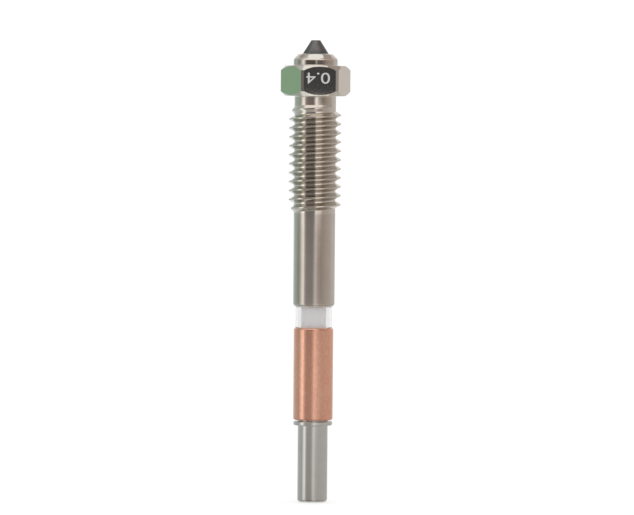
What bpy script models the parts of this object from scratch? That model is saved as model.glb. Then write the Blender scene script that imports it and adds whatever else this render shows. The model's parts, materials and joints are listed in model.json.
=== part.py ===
"""3-D printer nozzle with its heat break, standing on its filament end with the tip up.

All sizes are millimetres, and MM turns them into Blender's metres when a mesh is made.
The axis is +Z and z = 0 is the flat end of the flanged tube, where the filament goes in.
The hexagon's marked flat faces -Y. Every piece is a ring of the same columns of facets,
so pieces that sit inside each other nest with one even gap, PRESS_GAP.
"""

import math

import bmesh
import bpy

MM = 0.001
PRESS_GAP = 0.02
FILAMENT_BORE_R = 1.95 / 2

# Flanged end tube, which takes the filament in
END_TUBE_R = 3.38 / 2
END_TUBE_EDGE_R = 0.33
ENTRY_CHAMFER = 0.12
FLANGE_R = 4.39 / 2
FLANGE_LOW_Z = 8.64
FLANGE_THICK = 0.48
FLANGE_EDGE_R = 0.12
SPIGOT_LENGTH = 3.0

# Copper sleeve, which takes the heat into the cold end
COPPER_R = 4.46 / 2
FLANGE_GAP = 0.12
COPPER_LOW_Z = FLANGE_LOW_Z + FLANGE_THICK + FLANGE_GAP
COPPER_LENGTH = 10.36
COPPER_TOP_CHAMFER = 0.26
COPPER_LOW_EDGE_R = 0.2

# Thin heat-break tube and the clear sleeve round its bare neck
THROAT_R = 2.77 / 2
THROAT_IN_BODY = 6.0
CLEAR_SLEEVE_R = 4.08 / 2
CLEAR_WALL = 0.25
NECK_GAP = 2.33

# Nozzle body: shank, thread, hexagon and collar
SHANK_R = 4.68 / 2
SHANK_EDGE_R = 0.4
BODY_LOW_Z = COPPER_LOW_Z + COPPER_LENGTH + NECK_GAP
THREAD_PITCH = 1.0
THREAD_CREST_R = 5.88 / 2
THREAD_LOW_Z = 32.5
THREAD_LOW_RAMP = 0.75
THREAD_HIGH_Z = 44.55
THREAD_HIGH_RAMP = 1.15
THREAD_CREST_AT_X = 0.44
CREST_FLAT = THREAD_PITCH / 8
HEX_LOW_Z = 45.51
HEX_HEIGHT = 3.42
HEX_FLAT_R = 7.0 / 2
HEX_CORNER_R = 7.86 / 2
HEX_CHAMFER = 0.53
BLOCK_HOLE_R = 6.1 / 2
SEAT_RELIEF = 0.04
COLLAR_R = 4.96 / 2
COLLAR_HEIGHT = 1.32
COLLAR_CHAMFER = 0.65
COLLAR_EDGE_R = 0.3

# Tip insert
TIP_SHANK_R = 2.9 / 2
TIP_SHANK_LENGTH = 3.95
TIP_SHANK_CHAMFER = 0.1
TIP_CONE_HEIGHT = 1.5
TIP_FACE_R = 1.0 / 2
ORIFICE_R = 0.4 / 2
ORIFICE_LAND = 0.6
MELT_CONE_HALF_ANGLE = math.radians(30)

# Facets
FLAT_COLUMNS = 4
EDGE_STEPS = 3
MARKED_FLAT_ANGLE = math.radians(-90)
SECTOR = math.radians(60)

COPPER_HIGH_Z = COPPER_LOW_Z + COPPER_LENGTH
SPIGOT_HIGH_Z = FLANGE_LOW_Z + FLANGE_THICK + SPIGOT_LENGTH
HEX_HIGH_Z = HEX_LOW_Z + HEX_HEIGHT
COLLAR_HIGH_Z = HEX_HIGH_Z + COLLAR_HEIGHT
TIP_BASE_Z = COLLAR_HIGH_Z + PRESS_GAP
TIP_LOW_Z = COLLAR_HIGH_Z - TIP_SHANK_LENGTH


def column_angles():
    """Angles of the facet columns: evenly over each flat of the hexagon, and one at each corner."""
    half_flat = math.acos(HEX_FLAT_R / HEX_CORNER_R)
    angles = []
    for sector in range(6):
        middle = MARKED_FLAT_ANGLE + sector * SECTOR
        for step in range(FLAT_COLUMNS + 1):
            angles.append(middle + half_flat * (2 * step / FLAT_COLUMNS - 1))
        angles.append(middle + SECTOR / 2)
    return angles


COLUMNS = column_angles()


def circle(radius, z):
    """One ring: (radius, z) at every column."""
    return [(radius, z)] * len(COLUMNS)


def circles(points):
    return [circle(radius, z) for radius, z in points]


def arc(centre_r, centre_z, radius, start_deg, end_deg):
    """(radius, z) points of an arc in the profile; 0 degrees points away from the axis, 90 up."""
    points = []
    for step in range(EDGE_STEPS + 1):
        angle = math.radians(start_deg + (end_deg - start_deg) * step / EDGE_STEPS)
        points.append((centre_r + radius * math.cos(angle), centre_z + radius * math.sin(angle)))
    return points


def hex_ring(plane_z, into_hex):
    """The chamfered edge of the hexagon below (into_hex -1) or above (+1) one of its end planes."""
    chamfer_start_r = HEX_CORNER_R - HEX_CHAMFER
    ring = []
    for angle in COLUMNS:
        from_flat = (angle - MARKED_FLAT_ANGLE + SECTOR / 2) % SECTOR - SECTOR / 2
        radius = min(HEX_CORNER_R, HEX_FLAT_R / math.cos(from_flat))
        ring.append((radius, plane_z + into_hex * (radius - chamfer_start_r)))
    return ring


def add_ring(mesh, ring):
    verts = []
    for angle, (radius, z) in zip(COLUMNS, ring):
        verts.append(mesh.verts.new((radius * math.cos(angle) * MM, radius * math.sin(angle) * MM, z * MM)))
    return verts


def bridge(mesh, first, second):
    """Quads between two rings of vertices."""
    for i in range(len(first)):
        j = (i + 1) % len(first)
        mesh.faces.new((first[i], first[j], second[j], second[i]))


def finish(name, mesh, material):
    """Makes the object from its closed mesh, shaded smooth except at its sharp edges."""
    bmesh.ops.recalc_face_normals(mesh, faces=mesh.faces)
    data = bpy.data.meshes.new(name)
    mesh.to_mesh(data)
    mesh.free()
    data.shade_smooth()
    data.set_sharp_from_angle(angle=math.radians(30))
    data.materials.append(material)
    piece = bpy.data.objects.new(name, data)
    bpy.context.scene.collection.objects.link(piece)
    return piece


def turned_piece(name, rings, material):
    """A closed solid of revolution with a hole through it, from its rings in order round the profile."""
    mesh = bmesh.new()
    made = [add_ring(mesh, ring) for ring in rings]
    for i, ring in enumerate(made):
        bridge(mesh, ring, made[(i + 1) % len(made)])
    return finish(name, mesh, material)


def thread_profile():
    """(share of the pitch, full radius) of the thread's corners, starting at the low edge of a root."""
    flank = (THREAD_CREST_R - SHANK_R) * math.tan(math.radians(30)) / THREAD_PITCH
    crest = CREST_FLAT / THREAD_PITCH
    crest_low = 1 - flank - crest
    return [
        (0.0, SHANK_R),
        (crest_low - flank, SHANK_R),
        (crest_low, THREAD_CREST_R),
        (crest_low + crest, THREAD_CREST_R),
    ]


def thread_radius(radius, z):
    """Cuts the thread down to the blank's tapered ends."""
    height = THREAD_CREST_R - SHANK_R
    below = height * (z - THREAD_LOW_Z) / THREAD_LOW_RAMP
    above = height * (THREAD_HIGH_Z - z) / THREAD_HIGH_RAMP
    return min(radius, SHANK_R + max(0.0, min(below, above)))


def add_thread(mesh, low_ring, high_ring):
    """The right-hand thread between two rings of vertices, on rows that climb one pitch per turn.

    A row's end meets the start of the row one turn above it, so the first column holds one turn more
    of rows than the others, and the two faces beside its ends take those extra vertices.
    """
    profile = thread_profile()
    per_turn = len(profile)
    middle_of_crest = profile[2][0] + CREST_FLAT / THREAD_PITCH / 2
    start_angle = COLUMNS[0]
    phase = THREAD_CREST_AT_X - middle_of_crest + start_angle / math.tau
    first_turn = math.ceil(THREAD_LOW_Z / THREAD_PITCH - 1 - phase)
    last_turn = math.floor(THREAD_HIGH_Z / THREAD_PITCH + 1 - phase)
    rows = (last_turn - first_turn - 1) * per_turn

    def vertex(column, row):
        share, radius = profile[row % per_turn]
        climb = (COLUMNS[column] - start_angle) / math.tau
        z = (first_turn + row // per_turn + phase + share + climb) * THREAD_PITCH
        radius = thread_radius(radius, z)
        angle = COLUMNS[column]
        return mesh.verts.new((radius * math.cos(angle) * MM, radius * math.sin(angle) * MM, z * MM))

    count = len(COLUMNS)
    grid = [[vertex(i, row) for row in range(rows + 1 + (per_turn if i == 0 else 0))] for i in range(count)]

    def at(column, row):
        return grid[column][row] if column < count else grid[0][row + per_turn]

    for i in range(count):
        for row in range(rows):
            mesh.faces.new((at(i, row), at(i + 1, row), at(i + 1, row + 1), at(i, row + 1)))
    for i in range(count):
        j = (i + 1) % count
        low_side = [grid[0][row] for row in range(per_turn + 1)] if i == count - 1 else [at(i + 1, 0)]
        mesh.faces.new([low_ring[i], low_ring[j], *low_side, at(i, 0)])
        high_side = [grid[0][rows + row] for row in range(per_turn, 0, -1)] if i == 0 else []
        mesh.faces.new([at(i, rows), at(i + 1, rows), high_ring[j], high_ring[i], *high_side])


def make_nozzle_body(material):
    socket_r = TIP_SHANK_R + PRESS_GAP
    throat_socket_r = THROAT_R + PRESS_GAP
    chamfer_start_r = HEX_CORNER_R - HEX_CHAMFER
    upper = circles([(socket_r, COLLAR_HIGH_Z)])
    blend = COLLAR_EDGE_R * math.tan(math.radians(22.5))
    chamfer_top_r = COLLAR_R - COLLAR_CHAMFER - blend
    chamfer_low_z = COLLAR_HIGH_Z - COLLAR_CHAMFER - blend
    upper += circles(arc(chamfer_top_r, COLLAR_HIGH_Z - COLLAR_EDGE_R, COLLAR_EDGE_R, 90, 45))
    upper += circles(arc(COLLAR_R - COLLAR_EDGE_R, chamfer_low_z, COLLAR_EDGE_R, 45, 0))
    upper += circles([(COLLAR_R, HEX_HIGH_Z), (chamfer_start_r, HEX_HIGH_Z)])
    upper += [hex_ring(HEX_HIGH_Z, -1), hex_ring(HEX_LOW_Z, +1)]
    upper += circles(
        [
            (chamfer_start_r, HEX_LOW_Z),
            (BLOCK_HOLE_R, HEX_LOW_Z),
            (SHANK_R, HEX_LOW_Z + SEAT_RELIEF),
        ]
    )
    lower = circles([(SHANK_R, THREAD_LOW_Z - 1.1 * THREAD_PITCH)])
    lower += circles(arc(SHANK_R - SHANK_EDGE_R, BODY_LOW_Z + SHANK_EDGE_R, SHANK_EDGE_R, 0, -90))
    lower += circles(
        [
            (throat_socket_r, BODY_LOW_Z),
            (throat_socket_r, BODY_LOW_Z + THROAT_IN_BODY),
            (FILAMENT_BORE_R, BODY_LOW_Z + THROAT_IN_BODY),
            (FILAMENT_BORE_R, TIP_LOW_Z - PRESS_GAP),
            (socket_r, TIP_LOW_Z - PRESS_GAP),
        ]
    )
    mesh = bmesh.new()
    upper = [add_ring(mesh, ring) for ring in upper]
    lower = [add_ring(mesh, ring) for ring in lower]
    for chain in (upper, lower):
        for first, second in zip(chain, chain[1:]):
            bridge(mesh, first, second)
    bridge(mesh, lower[-1], upper[0])
    add_thread(mesh, lower[0], upper[-1])
    return finish("nozzle_body", mesh, material)


def make_tip_insert(material):
    high_z = TIP_BASE_Z + TIP_CONE_HEIGHT
    land_z = high_z - ORIFICE_LAND
    melt_cone_z = land_z - (FILAMENT_BORE_R - ORIFICE_R) / math.tan(MELT_CONE_HALF_ANGLE)
    return turned_piece(
        "tip_insert",
        circles(
            [
                (ORIFICE_R, high_z),
                (TIP_FACE_R, high_z),
                (TIP_SHANK_R, TIP_BASE_Z),
                (TIP_SHANK_R, TIP_LOW_Z + TIP_SHANK_CHAMFER),
                (TIP_SHANK_R - TIP_SHANK_CHAMFER, TIP_LOW_Z),
                (FILAMENT_BORE_R, TIP_LOW_Z),
                (FILAMENT_BORE_R, melt_cone_z),
                (ORIFICE_R, land_z),
            ]
        ),
        material,
    )


def make_throat_tube(material):
    low_z = SPIGOT_HIGH_Z + 2 * PRESS_GAP
    high_z = BODY_LOW_Z + THROAT_IN_BODY - PRESS_GAP
    return turned_piece(
        "throat_tube",
        circles([(FILAMENT_BORE_R, high_z), (THROAT_R, high_z), (THROAT_R, low_z), (FILAMENT_BORE_R, low_z)]),
        material,
    )


def make_clear_sleeve(material):
    low_z = COPPER_HIGH_Z + PRESS_GAP
    high_z = BODY_LOW_Z - PRESS_GAP
    bore_r = CLEAR_SLEEVE_R - CLEAR_WALL
    return turned_piece(
        "clear_sleeve",
        circles([(bore_r, high_z), (CLEAR_SLEEVE_R, high_z), (CLEAR_SLEEVE_R, low_z), (bore_r, low_z)]),
        material,
    )


def make_copper_sleeve(material):
    bore_r = THROAT_R + PRESS_GAP
    counterbore_r = END_TUBE_R + PRESS_GAP
    step_z = SPIGOT_HIGH_Z + PRESS_GAP
    low_edge_z = COPPER_LOW_Z + COPPER_LOW_EDGE_R
    profile = [
        (bore_r, COPPER_HIGH_Z),
        (COPPER_R - COPPER_TOP_CHAMFER, COPPER_HIGH_Z),
        (COPPER_R, COPPER_HIGH_Z - COPPER_TOP_CHAMFER),
    ]
    profile += arc(COPPER_R - COPPER_LOW_EDGE_R, low_edge_z, COPPER_LOW_EDGE_R, 0, -90)
    profile += [(counterbore_r, COPPER_LOW_Z), (counterbore_r, step_z), (bore_r, step_z)]
    return turned_piece("copper_sleeve", circles(profile), material)


def make_flanged_end_tube(material):
    flange_high_z = FLANGE_LOW_Z + FLANGE_THICK
    rim_r = FLANGE_R - FLANGE_EDGE_R
    profile = [(FILAMENT_BORE_R, SPIGOT_HIGH_Z), (END_TUBE_R, SPIGOT_HIGH_Z), (END_TUBE_R, flange_high_z)]
    profile += arc(rim_r, flange_high_z - FLANGE_EDGE_R, FLANGE_EDGE_R, 90, 0)
    profile += arc(rim_r, FLANGE_LOW_Z + FLANGE_EDGE_R, FLANGE_EDGE_R, 0, -90)
    profile += [(END_TUBE_R, FLANGE_LOW_Z)]
    profile += arc(END_TUBE_R - END_TUBE_EDGE_R, END_TUBE_EDGE_R, END_TUBE_EDGE_R, 0, -90)
    profile += [(FILAMENT_BORE_R + ENTRY_CHAMFER, 0.0), (FILAMENT_BORE_R, ENTRY_CHAMFER)]
    return turned_piece("flanged_end_tube", circles(profile), material)


def metal(name, colour, roughness, metallic=1.0):
    material = bpy.data.materials.new(name)
    material.use_nodes = True
    shader = material.node_tree.nodes["Principled BSDF"]
    shader.inputs["Base Color"].default_value = (*colour, 1.0)
    shader.inputs["Roughness"].default_value = roughness
    shader.inputs["Metallic"].default_value = metallic
    return material


def clear(name, roughness):
    material = metal(name, (0.95, 0.95, 0.95), roughness, metallic=0.0)
    material.node_tree.nodes["Principled BSDF"].inputs["Transmission Weight"].default_value = 1.0
    return material


def main():
    for thing in list(bpy.data.objects):
        bpy.data.objects.remove(thing)
    make_tip_insert(metal("hardened_steel", (0.06, 0.06, 0.065), 0.45))
    make_nozzle_body(metal("nickel_plate", (0.62, 0.59, 0.55), 0.2))
    make_throat_tube(metal("titanium", (0.58, 0.57, 0.56), 0.35))
    make_clear_sleeve(clear("clear_quartz", 0.05))
    make_copper_sleeve(metal("copper", (0.83, 0.47, 0.33), 0.3))
    make_flanged_end_tube(metal("stainless_steel", (0.6, 0.58, 0.55), 0.3))


main()
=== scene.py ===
"""Looks of a long 3-D printer nozzle with its heat break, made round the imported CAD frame.

The part stands on its filament end with the tip up, and its axis is the frame's Z axis.
Sizes here are millimetres, measured from the frame's own boxes and mounts wherever it states them.
Meshes are built in millimetres and scaled to Blender's metres when they are finished.
"""

import json
import math

import bmesh
import bpy
from mathutils import Matrix, Vector


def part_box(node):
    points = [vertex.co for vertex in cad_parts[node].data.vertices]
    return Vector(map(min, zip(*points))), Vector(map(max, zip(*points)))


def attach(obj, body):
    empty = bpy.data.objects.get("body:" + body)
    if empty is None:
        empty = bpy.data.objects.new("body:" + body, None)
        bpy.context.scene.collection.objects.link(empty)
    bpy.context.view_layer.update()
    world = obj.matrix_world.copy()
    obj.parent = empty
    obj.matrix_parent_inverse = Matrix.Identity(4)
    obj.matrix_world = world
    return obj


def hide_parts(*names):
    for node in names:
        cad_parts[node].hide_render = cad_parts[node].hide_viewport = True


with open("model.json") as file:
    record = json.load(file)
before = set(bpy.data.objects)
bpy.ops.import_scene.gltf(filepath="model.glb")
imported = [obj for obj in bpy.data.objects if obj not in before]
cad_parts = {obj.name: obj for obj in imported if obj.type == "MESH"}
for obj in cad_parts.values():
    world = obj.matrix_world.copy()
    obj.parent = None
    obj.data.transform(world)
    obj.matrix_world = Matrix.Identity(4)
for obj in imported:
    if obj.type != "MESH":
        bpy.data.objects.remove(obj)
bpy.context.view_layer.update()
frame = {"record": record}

MM = 0.001


# ---------------------------------------------------------------- sizes from the frame

def z_range(node):
    """Lowest and highest z of a CAD node."""
    low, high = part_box(node)
    return low.z / MM, high.z / MM


def outer_radius(node):
    """Largest radius of a CAD node, across X."""
    low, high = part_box(node)
    return (high.x - low.x) / 2 / MM


MOUNTS = {mount["name"]: Vector(mount["pos_m"]) / MM for mount in frame["record"]["mounts"]}

BODY_LOW, BODY_HIGH = z_range("nozzle_body")
TIP_LOW, TIP_HIGH = z_range("tip_insert")
THROAT_LOW, THROAT_HIGH = z_range("throat_tube")
CLEAR_LOW, CLEAR_HIGH = z_range("clear_sleeve")
COPPER_LOW, COPPER_HIGH = z_range("copper_sleeve")
TUBE_LOW, TUBE_HIGH = z_range("flanged_end_tube")

HEX_CORNER_R = outer_radius("nozzle_body")
HEX_FLAT_R = -MOUNTS["marked_flat"].y
HEX_LOW = MOUNTS["hexagon_seat"].z
HEX_HIGH = 2 * MOUNTS["marked_flat"].z - HEX_LOW
FLANGE_LOW = MOUNTS["flange_seat"].z
FLANGE_R = outer_radius("flanged_end_tube")
COPPER_R = outer_radius("copper_sleeve")
CLEAR_R = outer_radius("clear_sleeve")
THROAT_R = outer_radius("throat_tube")

# Gap in each pressed or brazed joint, and the filament's bore
PRESS_GAP = 0.02
BORE_R = 1.95 / 2

# Nozzle body; an edge is the radius round an outside corner, and a crease the one in an inside corner
SHANK_R = 4.68 / 2
SHANK_EDGE = 0.4
NECK_CREASE = 0.12
HEX_CHAMFER = 0.53
HEX_CHAMFER_START_R = HEX_CORNER_R - HEX_CHAMFER
HEX_EDGE_SOFTENING = 0.035
HEX_EDGE_SEGMENTS = 3
COLLAR_R = 4.96 / 2
COLLAR_CHAMFER = 0.58
COLLAR_EDGE = 0.4
COLLAR_CREASE = 0.1
THROAT_IN_BODY = 6.0
THROAT_SOCKET_R = THROAT_R + PRESS_GAP

# M6 x 1 thread, which rises to its full height within a fade at each end; its rows reach a little further.
# Spare turns past both ends are clamped away, and steep faces count as flanks.
THREAD_PITCH = 1.0
THREAD_CREST_R = 5.88 / 2
CREST_FLAT = THREAD_PITCH / 8
CREST_EDGE = 0.045
ROOT_EDGE = 0.05
THREAD_LOW = 32.4
THREAD_LOW_FADE = 0.95
THREAD_HIGH = 44.42
THREAD_HIGH_FADE = 1.05
THREAD_ROWS_LOW = THREAD_LOW - 0.3
THREAD_ROWS_HIGH = THREAD_HIGH + 0.1
THREAD_CREST_AT_X = 0.44
SPARE_TURNS = 2
FLANK_STEEPNESS = 0.6

# Tip insert
TIP_SHANK_R = 2.9 / 2
TIP_SHANK_EDGE = 0.1
TIP_SOCKET_R = TIP_SHANK_R + PRESS_GAP
TIP_BASE = BODY_HIGH + PRESS_GAP
TIP_FACE_R = 0.5
TIP_FACE_EDGE = 0.08
ORIFICE_R = 0.2
ORIFICE_EDGE = 0.03
ORIFICE_LAND = 0.6
MELT_CONE_HALF_ANGLE = math.radians(30)

# Throat, sleeves and end tube
THROAT_EDGE = 0.05
CLEAR_WALL = 0.25
CLEAR_EDGE = 0.02
COPPER_TOP_EDGE = 0.26
COPPER_LOW_EDGE = 0.2
COPPER_BORE_EDGE = 0.04
TUBE_R = 3.38 / 2
TUBE_EDGE = 0.33
SPIGOT_EDGE = 0.06
FLANGE_HIGH = FLANGE_LOW + 0.48
FLANGE_EDGE = 0.12
FLANGE_HIGH_CREASE = 0.03
FLANGE_LOW_CREASE = 0.06
ENTRY_EDGE = 0.12

# Facets, and the turn up to which two faces are shaded as one surface
SECTOR = math.radians(60)
MARKED_FLAT_ANGLE = math.radians(-90)
FLAT_COLUMNS = 26
CORNER_COLUMNS = 4
EDGE_STEPS = 5
THREAD_EDGE_STEPS = 4
SMOOTH_COSINE = math.cos(math.radians(35))

# Size number on the marked flat
MARK_TEXT = "0.4"
MARK_SIZE = 1.75
MARK_WIDENING = 1.31
MARK_LEFT_OF_CENTRE = 0.2
MARK_ABOVE_CENTRE = 0.37
MARK_PROUD = 0.004
MARK_CURVE_STEPS = 8


# ---------------------------------------------------------------- mesh helpers

def column_angles():
    """Angles of the facet columns: evenly over each flat of the hexagon and over each turned corner."""
    half_flat = math.acos(HEX_FLAT_R / HEX_CORNER_R)
    corner = SECTOR - 2 * half_flat
    angles = []
    for sector in range(6):
        start = MARKED_FLAT_ANGLE + sector * SECTOR - half_flat
        for step in range(FLAT_COLUMNS):
            angles.append(start + 2 * half_flat * step / FLAT_COLUMNS)
        for step in range(CORNER_COLUMNS):
            angles.append(start + 2 * half_flat + corner * step / CORNER_COLUMNS)
    return angles


COLUMNS = column_angles()


def arc_points(before, corner, after, radius, steps):
    """The rounded corner between two straight lines of a profile, as (radius, z) points."""
    to_before = (Vector(before) - Vector(corner)).normalized()
    to_after = (Vector(after) - Vector(corner)).normalized()
    half = to_before.angle(to_after) / 2
    trim = radius / math.tan(half)
    centre = Vector(corner) + (to_before + to_after).normalized() * radius / math.sin(half)
    first = Vector(corner) + to_before * trim - centre
    last = Vector(corner) + to_after * trim - centre
    start = math.atan2(first.y, first.x)
    turn = math.remainder(math.atan2(last.y, last.x) - start, math.tau)
    angles = [start + turn * step / steps for step in range(steps + 1)]
    return [(centre.x + radius * math.cos(a), centre.y + radius * math.sin(a)) for a in angles]


def rounded(corners):
    """A closed profile's (radius, z) points from its corners (radius, z) or (radius, z, edge radius)."""
    points = []
    for i, corner in enumerate(corners):
        if len(corner) == 2:
            points.append(corner)
            continue
        before = corners[i - 1][:2]
        after = corners[(i + 1) % len(corners)][:2]
        points += arc_points(before, corner[:2], after, corner[2], EDGE_STEPS)
    return points


def add_ring(mesh, ring):
    """Vertices at (radius, z) of each column."""
    verts = []
    for angle, (radius, z) in zip(COLUMNS, ring):
        verts.append(mesh.verts.new((radius * math.cos(angle), radius * math.sin(angle), z)))
    return verts


def circle(radius, z):
    """The same (radius, z) for every column."""
    return [(radius, z)] * len(COLUMNS)


def bridge(mesh, first, second):
    """Quads between two rings of vertices."""
    for i in range(len(first)):
        j = (i + 1) % len(first)
        mesh.faces.new((first[i], first[j], second[j], second[i]))


def turned(profile):
    """A closed solid of revolution with a hole through it, from its closed profile."""
    mesh = bmesh.new()
    rings = [add_ring(mesh, circle(*point)) for point in profile]
    for i, ring in enumerate(rings):
        bridge(mesh, ring, rings[(i + 1) % len(rings)])
    return mesh


def shade(data):
    """Smooth shading in which each face counts by its area squared, so broad faces stay flat to their edges.

    Every edge is marked sharp so that each corner keeps exactly the normal worked out here.
    """
    data.shade_smooth()
    around = [[] for _ in data.vertices]
    for face in data.polygons:
        weighted = (face.normal.copy(), face.normal * (face.area / MM**2) ** 2)
        for vertex in face.vertices:
            around[vertex].append(weighted)
    normals = []
    for face in data.polygons:
        own = face.normal.copy()
        for vertex in face.vertices:
            total = Vector()
            for normal, weighted in around[vertex]:
                if own.dot(normal) > SMOOTH_COSINE:
                    total += weighted
            normals.append(total.normalized())
    for edge in data.edges:
        edge.use_edge_sharp = True
    data.normals_split_custom_set(normals)


def make_piece(name, mesh, materials, node):
    """The piece that stands for a CAD node."""
    bmesh.ops.recalc_face_normals(mesh, faces=mesh.faces)
    mesh.transform(Matrix.Scale(MM, 4))
    data = bpy.data.meshes.new(name)
    mesh.to_mesh(data)
    mesh.free()
    shade(data)
    for material in materials:
        data.materials.append(material)
    piece = bpy.data.objects.new(name, data)
    bpy.context.scene.collection.objects.link(piece)
    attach(piece, "root")
    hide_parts(node)


# ---------------------------------------------------------------- nozzle body

def hex_ring(plane_z, into_hex):
    """The edge that the conical chamfer cuts on the hexagon, below (-1) or above (+1) an end plane."""
    ring = []
    for angle in COLUMNS:
        from_flat = (angle - MARKED_FLAT_ANGLE + SECTOR / 2) % SECTOR - SECTOR / 2
        radius = min(HEX_CORNER_R, HEX_FLAT_R / math.cos(from_flat))
        ring.append((radius, plane_z + into_hex * (radius - HEX_CHAMFER_START_R)))
    return ring


def thread_profile():
    """(z, height above the root) points of one pitch of thread, and the middle of its crest and its root."""
    height = THREAD_CREST_R - SHANK_R
    flank = height * math.tan(math.radians(30))
    crest_low = THREAD_PITCH - flank - CREST_FLAT
    crest_high = crest_low + CREST_FLAT
    root_high = crest_low - flank
    corners = [
        (crest_high - THREAD_PITCH, height, CREST_EDGE),
        (0.0, 0.0, ROOT_EDGE),
        (root_high, 0.0, ROOT_EDGE),
        (crest_low, height, CREST_EDGE),
        (crest_high, height, CREST_EDGE),
        (THREAD_PITCH, 0.0, ROOT_EDGE),
    ]
    points = []
    for before, corner, after in zip(corners, corners[1:], corners[2:]):
        points += arc_points(before[:2], corner[:2], after[:2], corner[2], THREAD_EDGE_STEPS)
    return points, (crest_low + crest_high) / 2, root_high / 2


def smoothstep(value):
    """A smooth rise from 0 to 1 as the value goes from 0 to 1."""
    value = min(1.0, max(0.0, value))
    return value * value * (3 - 2 * value)


def thread_fade(crest_z):
    """Share of its full height that the thread has where its crest is at a height z."""
    rise = smoothstep((crest_z - THREAD_LOW) / THREAD_LOW_FADE)
    return min(rise, smoothstep((THREAD_HIGH - crest_z) / THREAD_HIGH_FADE))


def add_thread(mesh):
    """The right-hand thread between two flat rings, on rows that climb one pitch per turn.

    Rows are clamped to the two ends, where they merge into one vertex per column.
    Returns the ring of vertices at each end.
    """
    profile, middle_of_crest, middle_of_root = thread_profile()
    per_turn = len(profile)
    phase = THREAD_CREST_AT_X - middle_of_crest
    first_turn = math.floor(THREAD_ROWS_LOW / THREAD_PITCH - phase) - SPARE_TURNS
    turns = math.ceil((THREAD_ROWS_HIGH - THREAD_ROWS_LOW) / THREAD_PITCH) + 2 * SPARE_TURNS + 1
    columns = []
    for angle in COLUMNS:
        climb = angle / math.tau
        column = []
        for row in range(turns * per_turn):
            share, height = profile[row % per_turn]
            turn_z = (first_turn + row // per_turn + phase + climb) * THREAD_PITCH
            crest_z = turn_z + middle_of_crest - (THREAD_PITCH if share < middle_of_root else 0.0)
            z = min(THREAD_ROWS_HIGH, max(THREAD_ROWS_LOW, turn_z + share))
            if column and z == column[-1].co.z:
                column.append(column[-1])
                continue
            radius = SHANK_R + height * thread_fade(crest_z)
            column.append(mesh.verts.new((radius * math.cos(angle), radius * math.sin(angle), z)))
        columns.append(column)
    columns.append(columns[0][per_turn:])
    for left, right in zip(columns, columns[1:]):
        for row in range(len(right) - 1):
            corners = dict.fromkeys((left[row], right[row], right[row + 1], left[row + 1]))
            if len(corners) > 2:
                mesh.faces.new(tuple(corners))
    full = columns[:-1]
    return [column[0] for column in full], [column[-1] for column in full]


def neck_points():
    """The neck from the thread up to the hexagon's underside, as (radius, z) points."""
    thread_end = (SHANK_R, THREAD_ROWS_HIGH)
    crease = (SHANK_R, HEX_LOW)
    return arc_points(thread_end, crease, (HEX_CHAMFER_START_R, HEX_LOW), NECK_CREASE, EDGE_STEPS)


def collar_points():
    """The collar from the hexagon's top over its chamfer to its end face, as (radius, z) points."""
    crease = (COLLAR_R, HEX_HIGH)
    chamfer_low = (COLLAR_R, BODY_HIGH - COLLAR_CHAMFER)
    chamfer_high = (COLLAR_R - COLLAR_CHAMFER, BODY_HIGH)
    points = arc_points(
        (HEX_CHAMFER_START_R, HEX_HIGH), crease, (COLLAR_R, BODY_HIGH), COLLAR_CREASE, EDGE_STEPS
    )
    points += arc_points(crease, chamfer_low, chamfer_high, COLLAR_EDGE, EDGE_STEPS)
    points += arc_points(chamfer_low, chamfer_high, (TIP_SOCKET_R, BODY_HIGH), COLLAR_EDGE, EDGE_STEPS)
    return points


def inside_points():
    """The tip's socket, the bore, the throat's socket and the shank's rounded end, as (radius, z) points."""
    tip_step = TIP_LOW - PRESS_GAP
    throat_step = BODY_LOW + THROAT_IN_BODY
    points = [
        (TIP_SOCKET_R, BODY_HIGH),
        (TIP_SOCKET_R, tip_step),
        (BORE_R, tip_step),
        (BORE_R, throat_step),
        (THROAT_SOCKET_R, throat_step),
        (THROAT_SOCKET_R, BODY_LOW),
    ]
    shank_corner = (SHANK_R, BODY_LOW)
    points += arc_points(
        (THROAT_SOCKET_R, BODY_LOW), shank_corner, (SHANK_R, THREAD_ROWS_LOW), SHANK_EDGE, 2 * EDGE_STEPS
    )
    return points


def soften_hexagon(mesh, seat_edge, hex_low, hex_high, top_edge):
    """Rounds the rings at the hexagon's chamfers slightly, and the edges between its flats and corners."""
    edges = []
    for ring in (seat_edge, hex_low, hex_high, top_edge):
        edges += [mesh.edges.get((a, b)) for a, b in zip(ring, ring[1:] + ring[:1])]
    for i in range(len(COLUMNS)):
        if i % (FLAT_COLUMNS + CORNER_COLUMNS) in (0, FLAT_COLUMNS):
            edges.append(mesh.edges.get((hex_low[i], hex_high[i])))
    bmesh.ops.bevel(
        mesh,
        geom=edges,
        offset=HEX_EDGE_SOFTENING,
        offset_type="OFFSET",
        segments=HEX_EDGE_SEGMENTS,
        profile=0.5,
        affect="EDGES",
        clamp_overlap=True,
    )


def share_out_plating(mesh):
    """Material 1 on the plain shank, 2 on the thread's flanks (a darker copy of the plating that paints
    shade there) and 0 on the rest.
    """
    mesh.normal_update()
    for face in mesh.faces:
        z = face.calc_center_median().z
        if z < THREAD_LOW:
            face.material_index = 1
        # Steep faces of the thread get the darker copy of the plating, which paints shade on the flanks
        elif z < THREAD_HIGH and abs(face.normal.z) > FLANK_STEEPNESS:
            face.material_index = 2


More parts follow.
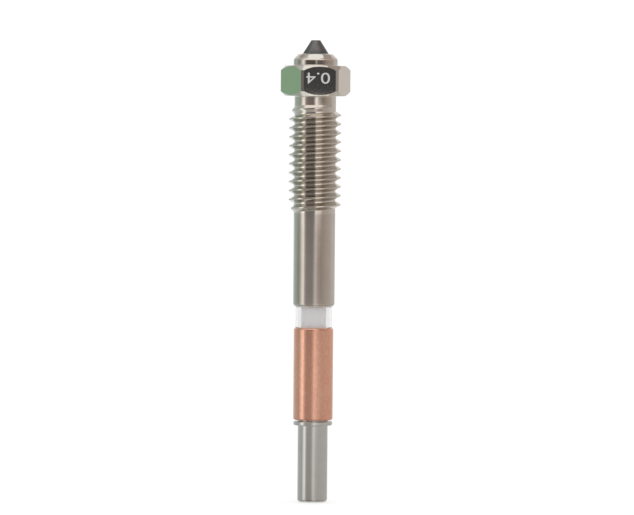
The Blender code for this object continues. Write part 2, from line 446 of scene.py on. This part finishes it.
def make_nozzle_body(bright, satin, flanks):
    """Thread, neck, hexagon, collar, inside and shank in one closed surface, ring by ring."""
    mesh = bmesh.new()
    thread_low, thread_high = add_thread(mesh)
    neck = [add_ring(mesh, circle(*point)) for point in neck_points()]
    hexagon = [
        add_ring(mesh, circle(HEX_CHAMFER_START_R, HEX_LOW)),
        add_ring(mesh, hex_ring(HEX_LOW, +1)),
        add_ring(mesh, hex_ring(HEX_HIGH, -1)),
        add_ring(mesh, circle(HEX_CHAMFER_START_R, HEX_HIGH)),
    ]
    above = [add_ring(mesh, circle(*point)) for point in collar_points() + inside_points()]
    rings = [thread_high, *neck, *hexagon, *above, thread_low]
    for first, second in zip(rings, rings[1:]):
        bridge(mesh, first, second)
    soften_hexagon(mesh, *hexagon)
    share_out_plating(mesh)
    make_piece("nozzle_body_plated", mesh, [bright, satin, flanks], "nozzle_body")


# ---------------------------------------------------------------- the other pieces

def make_tip(material):
    """The cone and its shank, round the melt cone and the orifice."""
    land = TIP_HIGH - ORIFICE_LAND
    melt_cone = land - (BORE_R - ORIFICE_R) / math.tan(MELT_CONE_HALF_ANGLE)
    profile = rounded(
        [
            (ORIFICE_R, TIP_HIGH, ORIFICE_EDGE),
            (TIP_FACE_R, TIP_HIGH, TIP_FACE_EDGE),
            (TIP_SHANK_R, TIP_BASE),
            (TIP_SHANK_R, TIP_LOW, TIP_SHANK_EDGE),
            (BORE_R, TIP_LOW),
            (BORE_R, melt_cone),
            (ORIFICE_R, land),
        ]
    )
    make_piece("tip_insert_hard", turned(profile), [material], "tip_insert")


def make_throat(material):
    """The thin tube that the filament passes before it melts."""
    profile = rounded(
        [
            (BORE_R, THROAT_HIGH),
            (THROAT_R, THROAT_HIGH, THROAT_EDGE),
            (THROAT_R, THROAT_LOW, THROAT_EDGE),
            (BORE_R, THROAT_LOW),
        ]
    )
    make_piece("throat_tube_matt", turned(profile), [material], "throat_tube")


def make_clear_sleeve(material):
    """The thin-walled clear sleeve round the bare throat."""
    bore_r = CLEAR_R - CLEAR_WALL
    profile = rounded(
        [
            (bore_r, CLEAR_HIGH, CLEAR_EDGE),
            (CLEAR_R, CLEAR_HIGH, CLEAR_EDGE),
            (CLEAR_R, CLEAR_LOW, CLEAR_EDGE),
            (bore_r, CLEAR_LOW, CLEAR_EDGE),
        ]
    )
    make_piece("clear_sleeve_glass", turned(profile), [material], "clear_sleeve")


def make_copper_sleeve(material):
    """The copper sleeve on the throat, bored wider below to take the end tube's spigot."""
    counterbore_r = TUBE_R + PRESS_GAP
    step = TUBE_HIGH + PRESS_GAP
    profile = rounded(
        [
            (THROAT_SOCKET_R, COPPER_HIGH, COPPER_BORE_EDGE),
            (COPPER_R, COPPER_HIGH, COPPER_TOP_EDGE),
            (COPPER_R, COPPER_LOW, COPPER_LOW_EDGE),
            (counterbore_r, COPPER_LOW, COPPER_BORE_EDGE),
            (counterbore_r, step),
            (THROAT_SOCKET_R, step),
        ]
    )
    make_piece("copper_sleeve_turned", turned(profile), [material], "copper_sleeve")


def make_end_tube(material):
    """The end tube with its spigot and thin flange."""
    profile = rounded(
        [
            (BORE_R, TUBE_HIGH),
            (TUBE_R, TUBE_HIGH, SPIGOT_EDGE),
            (TUBE_R, FLANGE_HIGH, FLANGE_HIGH_CREASE),
            (FLANGE_R, FLANGE_HIGH, FLANGE_EDGE),
            (FLANGE_R, FLANGE_LOW, FLANGE_EDGE),
            (TUBE_R, FLANGE_LOW, FLANGE_LOW_CREASE),
            (TUBE_R, TUBE_LOW, TUBE_EDGE),
            (BORE_R, TUBE_LOW, ENTRY_EDGE),
        ]
    )
    make_piece("end_tube_flanged", turned(profile), [material], "flanged_end_tube")


def make_size_mark(material):
    """The orifice size on the marked flat, a thin frosted layer that reads upright with the tip down."""
    text = bpy.data.curves.new("size_mark", "FONT")
    text.body = MARK_TEXT
    text.align_x = "CENTER"
    text.align_y = "CENTER"
    text.size = MARK_SIZE * MM
    text.extrude = MARK_PROUD * MM
    text.resolution_u = MARK_CURVE_STEPS
    mark = bpy.data.objects.new("size_mark", text)
    bpy.context.scene.collection.objects.link(mark)
    centre = MOUNTS["marked_flat"] + Vector((-MARK_LEFT_OF_CENTRE, 0.0, MARK_ABOVE_CENTRE))
    mark.matrix_world = Matrix(
        (
            (-MARK_WIDENING, 0, 0, centre.x * MM),
            (0, 0, -1, centre.y * MM),
            (0, -1, 0, centre.z * MM),
            (0, 0, 0, 1),
        )
    )
    text.materials.append(material)
    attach(mark, "root")


# ---------------------------------------------------------------- materials

# Most of a noise texture's values lie between these two
NOISE_LOW = 0.3
NOISE_HIGH = 0.7


def set_inputs(tree, node, inputs):
    """Sets each named input of a node to a value, or links it from a socket."""
    for name, value in inputs.items():
        if isinstance(value, bpy.types.NodeSocket):
            tree.links.new(value, node.inputs[name])
        else:
            node.inputs[name].default_value = value


def add_node(tree, kind, inputs, **settings):
    """A shader node with its settings and its inputs."""
    made = tree.nodes.new(kind)
    for name, value in settings.items():
        setattr(made, name, value)
    set_inputs(tree, made, inputs)
    return made


def in_millimetres(tree, stretch=(1.0, 1.0, 1.0)):
    """The piece's own coordinates in millimetres, stretched along each axis."""
    coordinates = tree.nodes.new("ShaderNodeTexCoord")
    scale = tuple(factor / MM for factor in stretch)
    product = add_node(
        tree, "ShaderNodeVectorMath", {0: coordinates.outputs["Object"], 1: scale}, operation="MULTIPLY"
    )
    return product.outputs[0]


def noise(tree, place, scale, detail=3.0, roughness=0.55):
    """Values of a noise texture, with a scale in cells per millimetre."""
    made = add_node(
        tree,
        "ShaderNodeTexNoise",
        {"Vector": place, "Scale": scale, "Detail": detail, "Roughness": roughness},
    )
    return made.outputs[0]


def between(tree, value, low, high):
    """Maps a noise value onto the range from low to high."""
    made = add_node(
        tree,
        "ShaderNodeMapRange",
        {"Value": value, "From Min": NOISE_LOW, "From Max": NOISE_HIGH, "To Min": low, "To Max": high},
    )
    return made.outputs[0]


def blend_colours(tree, factor, first, second):
    """The first colour where the factor is 0 and the second where it is 1."""
    made = add_node(tree, "ShaderNodeMix", {0: factor, 6: first, 7: second}, data_type="RGBA")
    return made.outputs[2]


def bump(tree, height, distance):
    """Surface relief of a height in millimetres."""
    inputs = {"Height": height, "Distance": distance * MM, "Strength": 1.0}
    return add_node(tree, "ShaderNodeBump", inputs).outputs[0]


def round_grooves(tree, per_mm):
    """Fine rings round the axis, as a turning tool leaves them."""
    return noise(tree, in_millimetres(tree, (0.03, 0.03, 1.0)), per_mm, detail=2.0, roughness=0.7)


def new_material(name):
    """A new material, its node tree and its shader."""
    material = bpy.data.materials.new(name)
    material.use_nodes = True
    return material, material.node_tree, material.node_tree.nodes["Principled BSDF"]


def polished_plate(name, cloud_scale, darker, lighter, roughness):
    """Polished plating whose colour is faintly clouded."""
    material, tree, shader = new_material(name)
    cloud = noise(tree, in_millimetres(tree), cloud_scale)
    fine = noise(tree, in_millimetres(tree), 6.0)
    set_inputs(
        tree,
        shader,
        {
            "Base Color": blend_colours(tree, cloud, darker, lighter),
            "Metallic": 1.0,
            "Roughness": between(tree, fine, *roughness),
            "Normal": bump(tree, fine, 0.0003),
        },
    )
    return material


def set_turned(tree, shader, colour, roughness, brushed, grooves_per_mm, groove_depth):
    """Sets a turned metal: fine grooves run round it, so reflections blur along the axis."""
    tangent = add_node(tree, "ShaderNodeTangent", {}, direction_type="RADIAL", axis="Z")
    set_inputs(
        tree,
        shader,
        {
            "Base Color": colour,
            "Metallic": 1.0,
            "Roughness": roughness,
            "Anisotropic": brushed,
            "Anisotropic Rotation": 0.25,
            "Tangent": tangent.outputs[0],
            "Normal": bump(tree, round_grooves(tree, grooves_per_mm), groove_depth),
        },
    )


def bright_nickel():
    """Mirror-bright plating on the thread, neck, hexagon and collar."""
    darker = (0.70, 0.655, 0.59, 1)
    lighter = (0.74, 0.70, 0.64, 1)
    return polished_plate("bright_nickel_plate", 0.9, darker, lighter, roughness=(0.03, 0.08))


def shaded_flank_nickel():
    """A darker, slightly rougher copy of the bright plating on the thread's flanks: painted shade in the
    grooves of the thread.
    """
    # Painted shade: both colours are darker than the bright plating's own
    darker = (0.60, 0.565, 0.51, 1)
    lighter = (0.67, 0.635, 0.575, 1)
    return polished_plate("nickel_with_painted_flank_shade", 1.2, darker, lighter, roughness=(0.06, 0.12))


def satin_nickel():
    """Plating over the turned shank."""
    material, tree, shader = new_material("satin_nickel_plate")
    cloud = noise(tree, in_millimetres(tree), 0.7)
    colour = blend_colours(tree, cloud, (0.60, 0.555, 0.50, 1), (0.68, 0.64, 0.585, 1))
    roughness = between(tree, noise(tree, in_millimetres(tree), 5.0), 0.13, 0.20)
    set_turned(tree, shader, colour, roughness, brushed=0.7, grooves_per_mm=14.0, groove_depth=0.0004)
    return material


def copper():
    """Bare turned copper with a blotchy film of tarnish."""
    material, tree, shader = new_material("bare_copper")
    blotches = noise(tree, in_millimetres(tree, (1.0, 1.0, 0.7)), 1.6, detail=5.0, roughness=0.6)
    patches = noise(tree, in_millimetres(tree), 0.5, detail=2.0)
    speckle = noise(tree, in_millimetres(tree, (1.0, 1.0, 0.6)), 4.0, detail=3.0)
    colour = blend_colours(tree, blotches, (0.93, 0.50, 0.35, 1), (0.98, 0.62, 0.48, 1))
    colour = blend_colours(tree, between(tree, patches, 0.0, 0.4), colour, (0.88, 0.42, 0.27, 1))
    colour = blend_colours(tree, between(tree, speckle, 0.0, 0.5), colour, (0.78, 0.36, 0.25, 1))
    roughness = between(tree, blotches, 0.17, 0.27)
    set_turned(tree, shader, colour, roughness, brushed=0.5, grooves_per_mm=10.0, groove_depth=0.0006)
    return material


def drawn_steel():
    """Stainless tube, satin, with faint turning lines."""
    material, tree, shader = new_material("drawn_stainless")
    cloud = noise(tree, in_millimetres(tree), 0.8)
    colour = blend_colours(tree, cloud, (0.63, 0.62, 0.585, 1), (0.70, 0.695, 0.66, 1))
    roughness = between(tree, noise(tree, in_millimetres(tree), 6.0), 0.12, 0.18)
    set_turned(tree, shader, colour, roughness, brushed=0.6, grooves_per_mm=12.0, groove_depth=0.0004)
    return material


def hard_steel():
    """Dark hardened steel of the tip, finely turned."""
    material, tree, shader = new_material("dark_hardened_steel")
    cloud = noise(tree, in_millimetres(tree), 2.0)
    fine = noise(tree, in_millimetres(tree), 9.0)
    set_inputs(
        tree,
        shader,
        {
            "Base Color": blend_colours(tree, cloud, (0.150, 0.150, 0.152, 1), (0.205, 0.205, 0.209, 1)),
            "Metallic": 1.0,
            "Roughness": between(tree, fine, 0.34, 0.46),
            "Normal": bump(tree, round_grooves(tree, 18.0), 0.002),
        },
    )
    return material


def matt_titanium():
    """Blasted titanium of the throat."""
    material, tree, shader = new_material("matt_titanium")
    grain = noise(tree, in_millimetres(tree), 14.0, detail=4.0)
    colour = blend_colours(tree, grain, (0.86, 0.84, 0.845, 1), (0.93, 0.912, 0.918, 1))
    set_inputs(
        tree,
        shader,
        {
            "Base Color": colour,
            "Metallic": 0.15,
            "Roughness": between(tree, grain, 0.5, 0.62),
            "Normal": bump(tree, grain, 0.004),
        },
    )
    return material


def clear_quartz():
    """Clear sleeve with a faint film on its polished surface."""
    material, tree, shader = new_material("clear_quartz")
    film = noise(tree, in_millimetres(tree), 1.5)
    colour = blend_colours(tree, film, (0.86, 0.86, 0.86, 1), (0.885, 0.885, 0.885, 1))
    set_inputs(
        tree,
        shader,
        {
            "Base Color": colour,
            "Transmission Weight": 1.0,
            "IOR": 1.2,
            "Roughness": between(tree, film, 0.01, 0.04),
            "Normal": bump(tree, film, 0.002),
        },
    )
    return material


def frosted_mark():
    """Laser-etched size number, frosted light grey."""
    material, tree, shader = new_material("frosted_mark")
    grain = noise(tree, in_millimetres(tree), 22.0, detail=3.0)
    colour = blend_colours(tree, grain, (0.42, 0.42, 0.42, 1), (0.60, 0.60, 0.59, 1))
    set_inputs(
        tree,
        shader,
        {
            "Base Color": colour,
            "Metallic": 0.0,
            "Roughness": between(tree, grain, 0.5, 0.7),
            "Normal": bump(tree, grain, 0.002),
        },
    )
    return material


# ---------------------------------------------------------------- stage, light and camera

# The camera stands level with the hexagon and looks down at the middle of the part
VIEW_AZIMUTH = math.radians(-8)
VIEW_BACK = Vector((math.sin(VIEW_AZIMUTH), -math.cos(VIEW_AZIMUTH), 0.0))
VIEW_RIGHT = Vector((math.cos(VIEW_AZIMUTH), math.sin(VIEW_AZIMUTH), 0.0))
CAMERA_DISTANCE = 493.0
CAMERA_Z = 46.0
CAMERA_LENS = 250.0
CAMERA_SENSOR = 36.0
CAMERA_ROLL = math.radians(0.47)
CLIP_START = 10.0
CLIP_END = 10000.0
TARGET_RIGHT_OF_AXIS = 0.325
TARGET_Z = 27.45

# White surroundings and pale floor
WORLD_BRIGHTNESS = 1.08
FLOOR_RADIUS = 4000.0
FLOOR_SEGMENTS = 96
FLOOR_GAP = 0.01

# Light wall round the part, and the heights of its bands below and above the part's own zones.
# The blend is half the height over which one zone fades into the next.
WALL_RADIUS = 45.0
WALL_BELOW = (-160.0, -58.0)
WALL_LOW = (-40.0, -8.0)
WALL_STRIP = (66.0, 84.0)
WALL_HIGH = (87.0, 150.0)
WALL_TOP = 165.0
WALL_BLEND = 0.15
WALL_COLUMNS = 360

# Tints of the lights
WHITE = (1.0, 1.0, 1.0)
PALE = (1.0, 0.98, 0.95)
WARM = (1.0, 0.94, 0.91)
ROSE = (1.0, 0.82, 0.80)
TAN = (1.0, 0.86, 0.76)
COOL = (0.90, 1.0, 1.03)
SAGE = (0.92, 1.0, 0.95)
LEAF = (0.86, 1.0, 0.88)
GREEN = (0.61, 1.0, 0.68)
NIGHT = (0.9, 0.92, 1.0)

# Lights of each zone, going round from the back by the left and the camera's side:
# (degrees to the right of the camera, brightness, tint). Between two lights the wall fades evenly.
# The values were fitted to the reflections in the photograph, then rounded and retuned, so they
# suit this view only. Without add_light_wall() the scene has plain soft light.
TUBE_LIGHTS = [
    (-180, 1.0, WHITE), (-160, 0.88, WHITE), (-145, 0.66, WHITE), (-128, 0.52, WHITE), (-100, 0.49, WHITE),
    (-86, 0.44, WHITE), (-76, 0.85, WHITE), (-61, 1.08, WHITE), (-55, 0.62, PALE), (-44, 0.38, PALE),
    (-14, 0.39, PALE), (-3, 0.58, PALE), (3, 0.76, PALE), (11, 0.75, PALE), (22, 0.56, PALE),
    (42, 0.50, PALE), (95, 0.54, PALE), (120, 0.54, PALE), (135, 0.56, PALE), (148, 0.66, WHITE),
    (160, 0.80, WHITE), (180, 1.0, WHITE),
]
COPPER_LIGHTS = [
    (-180, 1.0, WHITE), (-160, 0.98, COOL), (-145, 0.80, COOL), (-128, 0.60, COOL), (-100, 0.53, COOL),
    (-86, 0.50, LEAF), (-75, 0.88, WHITE), (-61, 1.28, WHITE), (-54, 0.68, WHITE), (-42, 0.42, WARM),
    (-12, 0.43, WARM), (-3, 0.60, WARM), (3, 0.92, WHITE), (11, 0.92, WHITE), (24, 0.70, WHITE),
    (48, 0.55, PALE), (95, 0.57, WARM), (126, 0.58, WARM), (142, 0.63, WHITE), (156, 0.76, WHITE),
    (180, 1.05, WHITE),
]
SHANK_LIGHTS = [
    (-180, 1.0, WHITE), (-160, 0.98, COOL), (-145, 0.78, COOL), (-130, 0.54, COOL), (-115, 0.52, LEAF),
    (-100, 0.37, LEAF), (-87, 0.36, LEAF), (-77, 0.66, WARM), (-66, 1.05, WARM), (-59, 1.18, WARM),
    (-52, 0.50, WARM), (-42, 0.31, WARM), (-12, 0.28, WARM), (-5, 0.34, WARM), (2, 0.56, WARM),
    (9, 0.68, WARM), (18, 0.46, ROSE), (34, 0.34, TAN), (65, 0.49, TAN), (95, 0.54, WARM),
    (112, 0.66, WARM), (126, 0.64, WARM), (142, 0.63, WHITE), (156, 0.68, WHITE), (168, 0.85, WHITE),
    (180, 1.05, WHITE),
]
THREAD_LIGHTS = [
    (-180, 1.0, WHITE), (-160, 0.78, COOL), (-145, 0.62, COOL), (-130, 0.57, SAGE), (-100, 0.55, SAGE),
    (-84, 0.50, SAGE), (-74, 1.18, PALE), (-62, 1.45, PALE), (-56, 0.58, WARM), (-47, 0.19, WARM),
    (-2, 0.18, WARM), (3, 0.60, ROSE), (8, 1.08, WARM), (32, 0.90, WARM), (42, 0.54, ROSE),
    (54, 0.47, TAN), (75, 0.49, WARM), (95, 0.55, WARM), (112, 0.59, WARM), (142, 0.62, WARM),
    (156, 0.74, WHITE), (180, 1.05, WHITE),
]
NECK_LIGHTS = [
    (-180, 1.0, WHITE), (-160, 0.76, COOL), (-145, 0.60, COOL), (-130, 0.50, LEAF), (-100, 0.43, LEAF),
    (-86, 0.38, LEAF), (-76, 0.75, WARM), (-64, 1.30, WARM), (-58, 0.80, WARM), (-51, 0.34, ROSE),
    (-34, 0.22, ROSE), (-10, 0.21, ROSE), (-4, 0.45, WARM), (2, 1.05, WARM), (9, 1.20, WARM),
    (16, 0.66, WARM), (34, 0.32, TAN), (46, 0.27, TAN), (65, 0.38, TAN), (95, 0.49, TAN),
    (112, 0.60, WARM), (130, 0.60, WARM), (142, 0.62, WARM), (156, 0.68, WHITE), (180, 1.0, WHITE),
]
HEXAGON_LIGHTS = [
    (-180, 1.0, WHITE), (-150, 0.70, WHITE), (-130, 0.47, GREEN), (-85, 0.47, GREEN), (-70, 0.60, WHITE),
    (-58, 0.20, WHITE), (-30, 0.17, WARM), (-10, 0.07, NIGHT), (30, 0.07, NIGHT), (50, 0.25, WARM),
    (66, 0.36, WARM), (90, 0.40, WARM), (120, 0.66, WARM), (150, 0.74, WARM), (180, 1.05, WHITE),
]
COLLAR_LIGHTS = [
    (-180, 1.0, WHITE), (-160, 0.78, COOL), (-145, 0.58, COOL), (-130, 0.41, COOL), (-112, 0.52, LEAF),
    (-100, 0.32, WHITE), (-88, 0.26, WARM), (-76, 0.62, WARM), (-63, 1.15, WARM), (-56, 0.55, WARM),
    (-48, 0.11, ROSE), (-14, 0.10, ROSE), (-3, 0.11, ROSE), (2, 0.44, WARM), (6, 0.44, WARM),
    (11, 0.17, ROSE), (30, 0.15, ROSE), (46, 0.24, ROSE), (65, 0.36, TAN), (95, 0.42, TAN),
    (112, 0.56, WARM), (142, 0.58, WARM), (156, 0.70, WHITE), (180, 1.0, WHITE),
]
# Lights of the bands below and above those zones, which chamfers and flanks reflect
BELOW_LIGHTS = [
    (-180, 1.0, WHITE), (-100, 0.90, WHITE), (-80, 0.65, SAGE), (-45, 0.50, PALE), (30, 0.55, PALE),
    (80, 0.60, WARM), (100, 0.85, WARM), (180, 1.0, WHITE),
]
LOW_LIGHTS = [
    (-180, 1.0, WHITE), (-150, 0.72, WHITE), (-120, 0.48, SAGE), (-80, 0.44, LEAF), (-64, 0.50, WARM),
    (-45, 0.24, ROSE), (-5, 0.24, ROSE), (5, 0.48, WARM), (24, 0.45, WARM), (38, 0.34, TAN),
    (90, 0.42, TAN), (112, 0.52, WARM), (142, 0.70, WARM), (180, 1.05, WHITE),
]
STRIP_LIGHTS = [
    (-180, 1.0, WHITE), (-150, 0.72, WHITE), (-120, 0.48, SAGE), (-76, 0.50, SAGE), (-62, 1.05, WARM),
    (36, 1.05, WARM), (52, 0.60, TAN), (95, 0.50, TAN), (142, 0.70, WARM), (180, 1.05, WHITE),
]
HIGH_LIGHTS = [
    (-180, 1.0, WHITE), (-165, 0.55, WHITE), (-150, 0.36, ROSE), (-130, 0.40, ROSE), (-112, 0.66, SAGE),
    (-80, 0.60, SAGE), (-66, 1.1, WARM), (30, 1.1, WARM), (48, 0.50, TAN), (95, 0.40, TAN),
    (112, 0.42, TAN), (140, 0.42, WARM), (160, 0.50, WHITE), (180, 1.0, WHITE),
]
CEILING_LIGHTS = [(-180, WORLD_BRIGHTNESS, WHITE), (180, WORLD_BRIGHTNESS, WHITE)]

# Zones of the part, from its end tube up: (lowest z, highest z, lights)
ZONES = [
    (TUBE_LOW, FLANGE_HIGH, TUBE_LIGHTS),
    (FLANGE_HIGH, COPPER_HIGH, COPPER_LIGHTS),
    (BODY_LOW, THREAD_LOW, SHANK_LIGHTS),
    (THREAD_LOW, THREAD_HIGH, THREAD_LIGHTS),
    (THREAD_HIGH, HEX_LOW, NECK_LIGHTS),
    (HEX_LOW, HEX_HIGH, HEXAGON_LIGHTS),
    (HEX_HIGH, BODY_HIGH, COLLAR_LIGHTS),
]


def add_camera():
    """A long lens, turned a little about its own axis, since the part leans slightly in the view."""
    data = bpy.data.cameras.new("camera")
    data.lens = CAMERA_LENS
    data.sensor_width = CAMERA_SENSOR
    data.clip_start = CLIP_START * MM
    data.clip_end = CLIP_END * MM
    camera = bpy.data.objects.new("camera", data)
    bpy.context.scene.collection.objects.link(camera)
    target = VIEW_RIGHT * TARGET_RIGHT_OF_AXIS + Vector((0, 0, TARGET_Z))
    stand = target + VIEW_BACK * CAMERA_DISTANCE
    stand.z = CAMERA_Z
    camera.location = stand * MM
    turn = (target - stand).to_track_quat("-Z", "Y").to_matrix() @ Matrix.Rotation(CAMERA_ROLL, 3, "Z")
    camera.rotation_mode = "QUATERNION"
    camera.rotation_quaternion = turn.to_quaternion()
    bpy.context.scene.camera = camera


def add_world():
    """Even white surroundings."""
    world = bpy.data.worlds.new("white_studio")
    world.use_nodes = True
    background = world.node_tree.nodes["Background"]
    background.inputs["Color"].default_value = (1.0, 1.0, 1.0, 1.0)
    background.inputs["Strength"].default_value = WORLD_BRIGHTNESS
    bpy.context.scene.world = world


def floor_material():
    """Matt pale grey that glows slightly, so that it looks nearly white."""
    material, tree, shader = new_material("pale_floor")
    set_inputs(
        tree,
        shader,
        {
            "Base Color": (0.40, 0.40, 0.40, 1),
            "Emission Color": (1.0, 1.0, 0.995, 1),
            "Emission Strength": 0.62,
            "Roughness": 0.9,
            "Specular IOR Level": 0.0,
        },
    )
    return material


def add_stage_object(name, mesh, material):
    """A floor or wall that isn't part of the object."""
    data = bpy.data.meshes.new(name)
    mesh.to_mesh(data)
    mesh.free()
    data.materials.append(material)
    stage = bpy.data.objects.new(name, data)
    bpy.context.scene.collection.objects.link(stage)
    return stage


def add_floor():
    """Plain pale floor under the part's flat end."""
    mesh = bmesh.new()
    bmesh.ops.create_circle(mesh, cap_ends=True, segments=FLOOR_SEGMENTS, radius=FLOOR_RADIUS * MM)
    floor = add_stage_object("floor", mesh, floor_material())
    floor.location.z = -FLOOR_GAP * MM
    floor.visible_glossy = False


def lights_at(lights, degrees):
    """Colour of the light wall at an angle, between the listed lights on either side of it."""
    for (start, low, low_tint), (end, high, high_tint) in zip(lights, lights[1:]):
        if degrees <= end:
            share = (degrees - start) / (end - start)
            first = Vector(low_tint) * low
            return first.lerp(Vector(high_tint) * high, share)
    return Vector(lights[-1][2]) * lights[-1][1]


def wall_height(z):
    """Height at which the light wall shows in an upright mirror surface at height z on the part."""
    return z + (z - CAMERA_Z) * WALL_RADIUS / CAMERA_DISTANCE


def glow_material():
    """Emission in the colours painted on the light wall's vertices."""
    material, tree, shader = new_material("light_wall")
    tree.nodes.remove(shader)
    colour = add_node(tree, "ShaderNodeVertexColor", {}, layer_name="glow")
    emission = add_node(tree, "ShaderNodeEmission", {"Color": colour.outputs["Color"], "Strength": 1.0})
    set_inputs(tree, tree.nodes["Material Output"], {"Surface": emission.outputs[0]})
    return material


def wall_rows():
    """Height and lights of each ring of the light wall, from the bottom up."""
    rows = [(height, BELOW_LIGHTS) for height in WALL_BELOW]
    rows += [(height, LOW_LIGHTS) for height in WALL_LOW]
    for low, high, lights in ZONES:
        rows.append((wall_height(low) + WALL_BLEND, lights))
        rows.append((wall_height(high) - WALL_BLEND, lights))
    rows += [(height, STRIP_LIGHTS) for height in WALL_STRIP]
    rows += [(height, HIGH_LIGHTS) for height in WALL_HIGH]
    rows.append((WALL_TOP, CEILING_LIGHTS))
    return rows


def add_wall_ring(mesh, glow, height, lights):
    """One ring of the light wall's vertices, painted with its lights."""
    ring = []
    for step in range(WALL_COLUMNS + 1):
        degrees = -180 + 360 * step / WALL_COLUMNS
        angle = math.radians(degrees)
        out = (VIEW_BACK * math.cos(angle) + VIEW_RIGHT * math.sin(angle)) * WALL_RADIUS
        vert = mesh.verts.new((out.x, out.y, height))
        vert[glow] = (*lights_at(lights, degrees), 1.0)
        ring.append(vert)
    return ring


def add_light_wall():
    """A round wall of soft panels, strips and dark gaps, seen only in the metal's reflections."""
    mesh = bmesh.new()
    glow = mesh.verts.layers.float_color.new("glow")
    rings = [add_wall_ring(mesh, glow, height, lights) for height, lights in wall_rows()]
    for low, high in zip(rings, rings[1:]):
        for i in range(WALL_COLUMNS):
            mesh.faces.new((low[i], low[i + 1], high[i + 1], high[i]))
    mesh.transform(Matrix.Scale(MM, 4))
    wall = add_stage_object("light_wall", mesh, glow_material())
    wall.visible_camera = False
    wall.visible_diffuse = False
    wall.visible_transmission = False
    wall.visible_shadow = False


def main():
    bpy.context.scene.view_settings.view_transform = "Standard"
    add_camera()
    add_world()
    add_floor()
    add_light_wall()
    # The third material is a darker copy of the plating that paints shade on the thread's flanks
    make_nozzle_body(bright_nickel(), satin_nickel(), shaded_flank_nickel())
    make_tip(hard_steel())
    make_throat(matt_titanium())
    make_clear_sleeve(clear_quartz())
    make_copper_sleeve(copper())
    make_end_tube(drawn_steel())
    make_size_mark(frosted_mark())


main()
